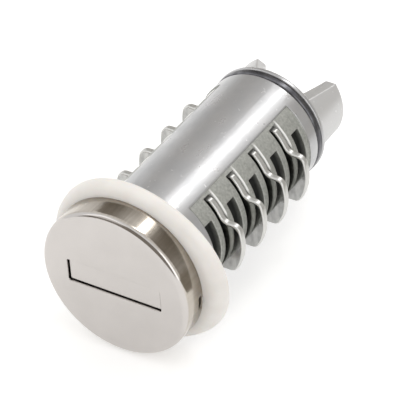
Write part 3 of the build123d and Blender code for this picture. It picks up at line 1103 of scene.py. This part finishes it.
@dataclass
class SnapRing:
    """Split spring ring in the rear groove, with its gap underneath.

    Attributes:
        inner: inside radius.
        outer: outside radius.
        front: Y of its front.
        rear: Y of its rear.
        radii: radii of its edges at inner front, outer front, outer rear and inner rear.
        split: width of the gap.
        rows: number of angles from one side of the gap to the other.
    """

    inner: float = 7.55
    outer: float = 8.35
    front: float = 36.4
    rear: float = 37.35
    radii: tuple[float, float, float, float] = (0.06, 0.25, 0.25, 0.06)
    split: float = 2.0
    rows: int = 201

    def build(self) -> Piece:
        """Turns the section from one side of the gap to the other, and closes both ends.

        Returns:
            The ring's object.
        """
        half_gap = np.degrees(self.split / 2 / self.outer)
        angles = np.linspace(-90 + half_gap, 270 - half_gap, self.rows)
        points = turned(ring_section(self.inner, self.outer, self.front, self.rear, self.radii), angles)
        rows, columns = points.shape[:2]
        first = np.arange(columns)
        ends = (first, first[::-1] + (rows - 1) * columns)
        return make_piece("snap_ring_band", points, grid_faces(rows, columns, False), ends)

    def dress(self) -> None:
        """Puts the ring in place of its CAD node, in black oxide."""
        piece = self.build()
        dress(piece, OxidedSteel("black_oxide", "#7C7C80", "#48484C", 0.36, 0.08).material())
        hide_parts("retaining_ring")
        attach(piece, "barrel")
        log.info("snap ring: %d faces", len(piece.data.polygons))


@dataclass
class Plug:
    """Die-cast barrel with its wafers and their springs, shown by copies of their solids.

    The edges of the barrel and the wafers are rounded. Odd wafers stand out towards -X and even ones
    towards +X.

    Attributes:
        barrel_rounding: width of the rounding on the casting's edges.
        barrel_sharp: angle between two faces above which an edge of the casting is rounded.
        wafer_rounding: width of the rolled-over edge of a stamped wafer.
        wafer_count: number of wafers.
        wafer_travel: how far a wafer is drawn in. Not used.
        spring_length: length of a wafer's spring at rest. Not used.
        spring_seat: where the spring sits, along X towards the side where its wafer stands out. Not used.
        spring_sharp: angle between two faces above which an edge of the spring stays sharp.
    """

    barrel_rounding: float = 0.15
    barrel_sharp: float = 43.0
    wafer_rounding: float = 0.28
    wafer_count: int = 9
    wafer_travel: float = 2.0
    spring_length: float = 4.2
    spring_seat: float = -3.2
    spring_sharp: float = 60.0

    def dress(self) -> None:
        """Finishes the barrel in cast zinc, the wafers in stamped steel and the springs as wire."""
        barrel = rounded_copy("barrel", self.barrel_rounding, self.barrel_sharp)
        dress(barrel, CastZinc("cast_zinc", "#CACACB", "#B8B9BB", 0.3, 0.04).material())
        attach(barrel, "barrel")
        steel = StampedSteel("stamped_steel", "#BABAB8", "#A0A09E", 0.1, 0.02).material()
        wire = bpy.data.materials["spring_wire"]  # made for the shutter, which is dressed first
        for number in range(1, self.wafer_count + 1):
            wafer = rounded_copy(f"wafer_{number}", self.wafer_rounding)
            dress(wafer, steel)
            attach(wafer, f"wafer_{number}")
            self.fit_spring(number, wire)
        log.info("plug: barrel, %d wafers and their springs", self.wafer_count)

    def fit_spring(self, number: int, wire: Material) -> None:
        """Copies a wafer's spring, dresses it in wire and attaches it to the barrel.

        Args:
            number: the wafer's number.
            wire: the spring's material.
        """
        spring = joined_copy(f"wafer_spring_{number}", self.spring_sharp)
        dress(spring, wire)
        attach(spring, "barrel")
        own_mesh(spring)


# Studio


@dataclass(frozen=True)
class Softbox:
    """One soft lamp.

    Attributes:
        name: its name.
        towards: direction from the object to the lamp.
        width: width of its face, in metres.
        height: height of its face, in metres.
        power: its power, in watts.
        colour: its colour as sRGB hex.
    """

    name: str
    towards: tuple[float, float, float]
    width: float
    height: float
    power: float
    colour: str = "#FFFFFF"

    def hang(self, target: Vector, distance: float) -> None:
        """Hangs the lamp so that it faces a point.

        Args:
            target: the point, in metres.
            distance: how far from it the lamp hangs, in metres.
        """
        light = bpy.data.lights.new(self.name, "AREA")
        light.shape = "RECTANGLE"
        light.size = self.width
        light.size_y = self.height
        light.energy = self.power
        light.color = linear(self.colour)[:3]
        lamp = put_in_scene(self.name, light)
        way = Vector(self.towards).normalized()
        lamp.location = target + way * distance
        lamp.rotation_euler = way.to_track_quat("Z", "Y").to_euler()


@dataclass
class Studio:
    """Pale floor, soft lamps, dark flags for the metal to mirror, and the surrounding light.

    Attributes:
        floor_height: Z of the floor.
        floor_size: width of the floor, in metres.
        rear_flag: left, right, depth and height of the flag that stands behind, in metres.
        side_flag: left, right, near and far side of the flag that lies on the floor, in metres.
        front_flag: left, right, depth and height of the flag that stands in front, in metres.
        target: point that the lamps face.
        distance: distance of the lamps from it, in metres.
        lamps: the lamps.
        ambient: strength of the surrounding light.
        ambient_colour: its colour.
        paper_colour: colour of the floor.
        paper_glow: how strongly the floor glows for the rays that see it as white.
        felt_colour: colour of the flags.
    """

    floor_height: float = -11.2
    floor_size: float = 6.0
    rear_flag: tuple[float, float, float, float] = (-1.09, 1.3, 1.0, 1.18)
    side_flag: tuple[float, float, float, float] = (0.03, 1.3, 0.02, 1.0)
    front_flag: tuple[float, float, float, float] = (-1.3, 1.6, -1.0, 1.5)
    target: tuple[float, float, float] = (0.0, 20.0, 0.0)
    distance: float = 1.2
    lamps: tuple[Softbox, ...] = (
        Softbox("strip_lamp", (0.176, 0.643, 0.746), 0.19, 0.9, 2.8),
        Softbox("front_lamp", (-0.5, -0.55, 0.67), 0.9, 0.9, 1.5),
        Softbox("side_lamp", (0.9, -0.25, 0.35), 0.6, 0.9, 1.8),
    )
    ambient: float = 0.8
    ambient_colour: str = "#FFFDFA"
    paper_colour: str = "#E8E8E8"
    paper_glow: float = 0.42
    felt_colour: str = "#958F87"

    def build(self) -> None:
        """Makes the floor, the flags, the world and the lamps."""
        self.lay_floor()
        self.place_flags()
        self.light_world()
        target = Vector([length * MM for length in self.target])
        for lamp in self.lamps:
            lamp.hang(target, self.distance)

    def lay_floor(self) -> None:
        """Lays the floor, which looks white except where the object shades it."""
        half, level = self.floor_size / 2, self.floor_height * MM
        corners = [(-half, -half, level), (half, -half, level), (half, half, level), (-half, half, level)]
        self.place_card("floor", corners, self.floor_material())

    def place_flags(self) -> None:
        """Stands one flag behind the object and one in front, and lays one a millimetre over the floor."""
        felt = self.flag_material()
        low = self.floor_height * MM
        for name, flag in (("rear_flag", self.rear_flag), ("front_flag", self.front_flag)):
            left, right, depth, top = flag
            corners = [(left, depth, low), (right, depth, low), (right, depth, top), (left, depth, top)]
            self.place_card(name, corners, felt)
        left, right, near, far = self.side_flag
        above = low + MM
        corners = [(left, near, above), (right, near, above), (right, far, above), (left, far, above)]
        self.place_card("side_flag", corners, felt)

    def place_card(self, name: str, corners: Sequence[tuple], finish: Material) -> None:
        """Places one flat card of the studio.

        Args:
            name: its name.
            corners: its four corners, in metres.
            finish: its material.
        """
        mesh = bpy.data.meshes.new(name)
        mesh.from_pydata(corners, [], [(0, 1, 2, 3)])
        card = put_in_scene(name, mesh)
        dress(card, finish)

    def floor_material(self) -> Material:
        """Matt white paper, which also glows for rays that come straight or by gloss or glass.

        Returns:
            The material.
        """
        made = bpy.data.materials.new("floor_paper")
        tree = cleared_tree(made)
        paper = add(tree, "BsdfDiffuse", {"Color": self.paper_colour})
        glow = add(tree, "Emission", {"Color": "#FFFFFF", "Strength": self.paper_glow})
        lit = add(tree, "AddShader", {0: paper, 1: glow})
        surface = add(tree, "MixShader", {0: seen_directly(tree), 1: paper, 2: lit})
        add(tree, "OutputMaterial", {"Surface": surface})
        return made

    def flag_material(self) -> Material:
        """Dark warm felt that only the metal sees: all but a glossy ray goes through it.

        Returns:
            The material.
        """
        made = bpy.data.materials.new("flag_felt")
        tree = cleared_tree(made)
        felt = add(tree, "BsdfDiffuse", {"Color": self.felt_colour})
        clear = add(tree, "BsdfTransparent", {"Color": "#FFFFFF"})
        mirrored = add(tree, "LightPath", {}, "Is Glossy Ray")
        surface = add(tree, "MixShader", {0: mirrored, 1: clear, 2: felt})
        add(tree, "OutputMaterial", {"Surface": surface})
        return made

    def light_world(self) -> None:
        """White for the camera and for the metal, and a little dimmer where it lights matt surfaces."""
        world = bpy.data.worlds.new("studio")
        tree = cleared_tree(world)
        room = add(tree, "Background", {"Color": self.ambient_colour, "Strength": self.ambient})
        white = add(tree, "Background", {"Color": "#FFFFFF", "Strength": 1.0})
        surface = add(tree, "MixShader", {0: seen_directly(tree), 1: room, 2: white})
        add(tree, "OutputWorld", {"Surface": surface})
        bpy.context.scene.world = world


def seen_directly(tree: Tree) -> Socket:
    """Share that is 1 for a ray from the camera, or one that left a glossy or a clear surface.

    Args:
        tree: a material's or the world's node tree.

    Returns:
        The share.
    """
    share = add(tree, "LightPath", {}, "Is Camera Ray")
    for kind in ("Is Glossy Ray", "Is Transmission Ray"):
        share = add(tree, "Math", {0: share, 1: add(tree, "LightPath", {}, kind)}, operation="MAXIMUM")
    return share


@dataclass
class Viewpoint:
    """The photograph's viewing angle, aimed at the middle of the object.

    Attributes:
        eye: the camera's place.
        aim: the point at the middle of the picture.
        axis_slope: across and down in the picture for a step along +Y, as the photograph has it.
        object_pixels: how many pixels one millimetre takes at the aim.
        sensor: width of the camera's sensor.
        near: distance from which the camera sees, in metres.
    """

    eye: tuple[float, float, float] = (199.2, -266.5, 276.4)
    aim: tuple[float, float, float] = (0.6, 19.5, 0.0)
    axis_slope: tuple[float, float] = (0.687, -0.726)
    object_pixels: float = 7.8
    sensor: float = 36.0
    near: float = 0.01

    def build(self) -> None:
        """Places the camera and turns it about its own axis until the cylinder lies as photographed."""
        eye, aim = Vector(self.eye) * MM, Vector(self.aim) * MM
        back = (eye - aim).normalized()
        level = back.to_track_quat("Z", "Y").to_matrix()
        data = bpy.data.cameras.new("camera")
        data.sensor_width = self.sensor
        pixels = self.object_pixels / MM * (eye - aim).length
        data.lens = pixels * self.sensor / IMAGE_WIDTH
        data.clip_start = self.near
        camera = put_in_scene("camera", data)
        camera.location = eye
        camera.rotation_euler = (level @ self.roll(level)).to_euler()
        bpy.context.scene.camera = camera

    def roll(self, level: Matrix) -> Matrix:
        """Turn about the view that gives +Y its photographed slope.

        Args:
            level: the camera's turn while its own X is level.

        Returns:
            The further turn, about the camera's own Z.
        """
        rearward = level.transposed() @ Vector((0, 1, 0))
        now = atan2(rearward.y, rearward.x)
        across, down = self.axis_slope
        return Matrix.Rotation(now - atan2(-down, across), 3, "Z")


def main() -> None:
    """Builds the sub-assemblies, the studio and the camera."""
    logging.basicConfig(level=logging.INFO, format="%(name)s: %(message)s")
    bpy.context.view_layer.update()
    bpy.context.scene.view_settings.view_transform = "Standard"
    for assembly in (FaceCap(), KeyholeShutter(), SealRing(), SnapRing(), Plug()):
        assembly.dress()
    Studio().build()
    Viewpoint().build()


if __name__ == "__main__":
    main()
